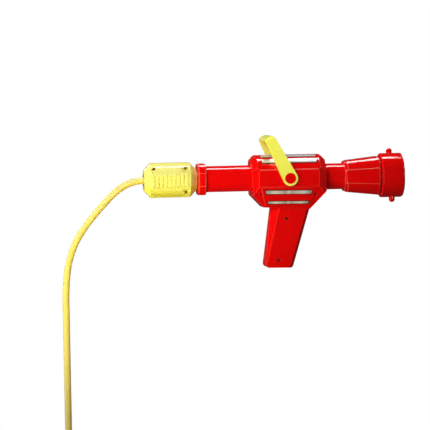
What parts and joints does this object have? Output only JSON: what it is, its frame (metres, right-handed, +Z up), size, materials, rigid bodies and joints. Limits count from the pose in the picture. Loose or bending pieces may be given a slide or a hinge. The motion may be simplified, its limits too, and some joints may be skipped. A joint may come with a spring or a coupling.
{
  "type": "toy water squirter",
  "caption": "Toy water squirter shaped like a fire-hose nozzle, with a pistol grip, a bail lever, a twist ring at the mouth and a sliding pump handle fed by a hose.",
  "frame": {"origin": "middle of the pistol grip, on the parting plane", "axes": "+X forward along the barrel, towards the nozzle; +Y to the left side; +Z up"},
  "size_m": [0.347, 0.0502, 0.4774],
  "materials": {
    "red_plastic": "glossy injection-moulded red ABS",
    "yellow_plastic": "satin-gloss injection-moulded yellow ABS",
    "clear_pvc": "translucent yellow extruded PVC hose",
    "silver_foil": "metallised foil strip",
    "screw_steel": "zinc-plated self-tapping screw",
    "spring_steel": "stainless spring wire",
    "ball_steel": "polished stainless ball",
    "seal_rubber": "moulded black nitrile rubber"
  },
  "bodies": {
    "gun": {"housing_left": "red_plastic", "housing_right": "red_plastic", "body_screws": "screw_steel", "barrel": "red_plastic", "rear_collar": "red_plastic", "collar_wiper": "seal_rubber", "nozzle_cone": "red_plastic", "outlet_seal": "seal_rubber", "outlet_seat": "red_plastic", "outlet_retainer": "red_plastic", "outlet_spring": "spring_steel", "side_foil_left": "silver_foil", "side_foil_right": "silver_foil", "top_foil_left": "silver_foil", "top_foil_right": "silver_foil"},
    "lever": {"bail_lever": "yellow_plastic"},
    "nozzle": {"nozzle_ring": "red_plastic", "jet_disc": "red_plastic"},
    "outlet_valve": {"outlet_ball": "ball_steel"},
    "pump": {"handle_left": "yellow_plastic", "handle_right": "yellow_plastic", "handle_screws": "screw_steel", "plunger_tube": "yellow_plastic", "piston_head": "yellow_plastic", "piston_seal": "seal_rubber", "ball_cage": "yellow_plastic", "hose_barb": "yellow_plastic", "hose_gland": "seal_rubber", "hose": "clear_pvc", "hose_connector": "yellow_plastic", "connector_seal": "seal_rubber"},
    "inlet_valve": {"inlet_ball": "ball_steel"}
  },
  "joints": [
    {"name": "pump_slide", "type": "slide", "parent": "gun", "child": "pump", "axis": [-1, 0, 0], "range_m": [0, 0.06]},
    {"name": "lever_swing", "type": "hinge", "parent": "gun", "child": "lever", "pos_m": [0.0044, 0, 0.06], "axis": [0, 1, 0], "range_deg": [-26, 86]},
    {"name": "nozzle_twist", "type": "hinge", "parent": "gun", "child": "nozzle", "pos_m": [0.108, 0, 0.06], "axis": [1, 0, 0], "continuous": true},
    {"name": "outlet_lift", "type": "slide", "parent": "gun", "child": "outlet_valve", "axis": [1, 0, 0], "range_m": [0, 0.003], "stiffness_N_per_m": 60, "springref_m": -0.002, "deforming": ["outlet_spring"]},
    {"name": "inlet_lift", "type": "slide", "parent": "pump", "child": "inlet_valve", "axis": [1, 0, 0], "range_m": [0, 0.002]}
  ]
}
